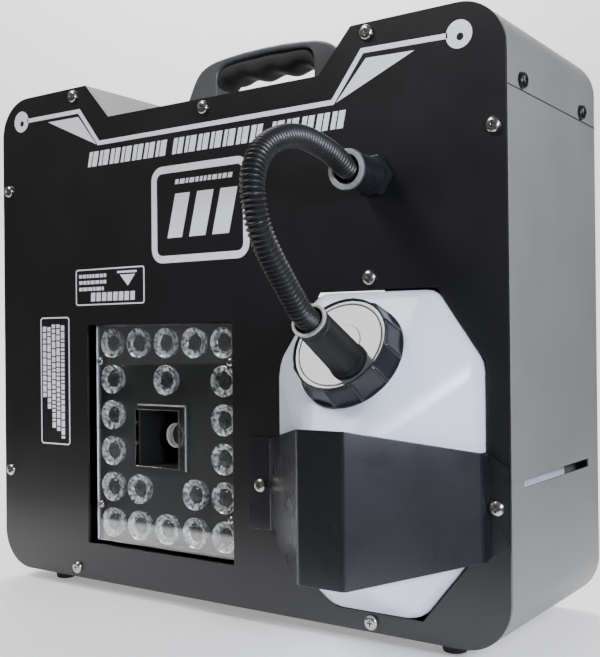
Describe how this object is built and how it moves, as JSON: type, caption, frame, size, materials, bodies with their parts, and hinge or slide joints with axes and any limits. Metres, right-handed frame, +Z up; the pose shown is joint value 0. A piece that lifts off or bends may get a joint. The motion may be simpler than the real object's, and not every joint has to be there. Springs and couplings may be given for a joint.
{
  "type": "fog machine",
  "caption": "Upright sheet-metal fog machine with a black front plate, LED panel round its nozzle, and a white fluid bottle held by a bent bracket.",
  "frame": {"origin": "middle of the whole object's base, at the underside of the base feet", "axes": "+Z up, +X to the machine's right seen from its front, -Y out of the front plate"},
  "size_m": [0.3894, 0.2692, 0.3602],
  "materials": {
    "plate_black": "satin black powder coat",
    "shell_grey": "satin grey powder coat",
    "screw_nickel": "bright nickel",
    "rubber_black": "matt",
    "moulded_black": "moulded, slightly worn",
    "bottle_white": "translucent white polyethylene",
    "cap_black": "satin",
    "disc_white": "satin",
    "hose_black": "corrugated polyamide",
    "window_clear": "clear acrylic",
    "lens_clear": "bright moulded lenses",
    "board": "solder resist",
    "steel": "plated steel",
    "aluminium": "cast",
    "brass": "turned",
    "tube_clear": "milky tube",
    "screen": "display window"
  },
  "bodies": {
    "root": {"front_plate": "plate_black", "lower_shell": "shell_grey", "top_cover": "shell_grey", "back_plate": "shell_grey", "carry_handle": "moulded_black", "window_sheet": "window_clear", "lens_panel": "lens_clear", "led_board": "board", "nozzle_duct": "steel", "nozzle": "brass", "heater_block": "aluminium", "heater_jacket": "steel", "pump_body": "steel", "pump_spring": "steel", "suction_tube": "tube_clear", "pressure_tube": "steel", "bottle": "bottle_white", "bottle_bracket": "plate_black", "cap_disc": "disc_white", "cap_elbow": "cap_black", "pickup_tube": "tube_clear", "hose": "hose_black", "hose_gland": "cap_black", "control_panel": "plate_black", "display": "screen", "control_board": "board", "dmx_input": "steel", "dmx_output": "steel", "switch_frame": "moulded_black", "fuse_holder": "moulded_black", "mains_inlet": "moulded_black", "power_board": "board", "base_foot_1": "rubber_black", "back_foot_1": "rubber_black", "base_foot_2": "rubber_black", "back_foot_2": "rubber_black", "base_foot_3": "rubber_black", "back_foot_3": "rubber_black", "base_foot_4": "rubber_black", "back_foot_4": "rubber_black", "plate_screw_1": "screw_nickel", "plate_screw_2": "screw_nickel", "plate_screw_3": "screw_nickel", "plate_screw_4": "screw_nickel", "plate_screw_5": "screw_nickel", "plate_screw_6": "screw_nickel", "plate_screw_7": "screw_nickel", "plate_screw_8": "screw_nickel", "plate_screw_9": "screw_nickel", "plate_screw_10": "screw_nickel", "plate_screw_11": "screw_nickel"},
    "cap_ring_body": {"cap_ring": "cap_black"},
    "power_rocker_body": {"power_rocker": "moulded_black"},
    "fuse_cap_body": {"fuse_cap": "moulded_black"},
    "dmx_latch_body": {"dmx_latch": "steel"},
    "pump_piston_body": {"pump_piston": "steel"},
    "button_1_body": {"button_1": "moulded_black"},
    "button_2_body": {"button_2": "moulded_black"},
    "button_3_body": {"button_3": "moulded_black"},
    "button_4_body": {"button_4": "moulded_black"}
  },
  "joints": [
    {"name": "cap_ring_turn", "type": "hinge", "parent": "root", "child": "cap_ring_body", "pos_m": [0.11905, -0.03606, 0.1583], "axis": [0, -0.8649, 0.5019], "range_deg": [0, 540]},
    {"name": "power_rocker_tilt", "type": "hinge", "parent": "root", "child": "power_rocker_body", "pos_m": [-0.18625, 0.03925, 0.1363], "axis": [0, 1, 0], "range_deg": [-16, 0]},
    {"name": "fuse_cap_turn", "type": "hinge", "parent": "root", "child": "fuse_cap_body", "pos_m": [-0.19075, 0.08125, 0.1363], "axis": [1, 0, 0], "range_deg": [0, 90]},
    {"name": "dmx_latch_press", "type": "slide", "parent": "root", "child": "dmx_latch_body", "axis": [1, 0, 0], "range_m": [0, 0.0015], "stiffness_N_per_m": 600, "springref_m": -0.001},
    {"name": "pump_stroke", "type": "slide", "parent": "root", "child": "pump_piston_body", "axis": [0, 0, 1], "range_m": [0, 0.003], "stiffness_N_per_m": 400, "springref_m": -0.002, "deforming": ["pump_spring"]},
    {"name": "button_1_press", "type": "slide", "parent": "root", "child": "button_1_body", "axis": [1, 0, 0], "range_m": [0, 0.0012], "stiffness_N_per_m": 500, "springref_m": -0.001},
    {"name": "button_2_press", "type": "slide", "parent": "root", "child": "button_2_body", "axis": [1, 0, 0], "range_m": [0, 0.0012], "stiffness_N_per_m": 500, "springref_m": -0.001},
    {"name": "button_3_press", "type": "slide", "parent": "root", "child": "button_3_body", "axis": [1, 0, 0], "range_m": [0, 0.0012], "stiffness_N_per_m": 500, "springref_m": -0.001},
    {"name": "button_4_press", "type": "slide", "parent": "root", "child": "button_4_body", "axis": [1, 0, 0], "range_m": [0, 0.0012], "stiffness_N_per_m": 500, "springref_m": -0.001}
  ]
}
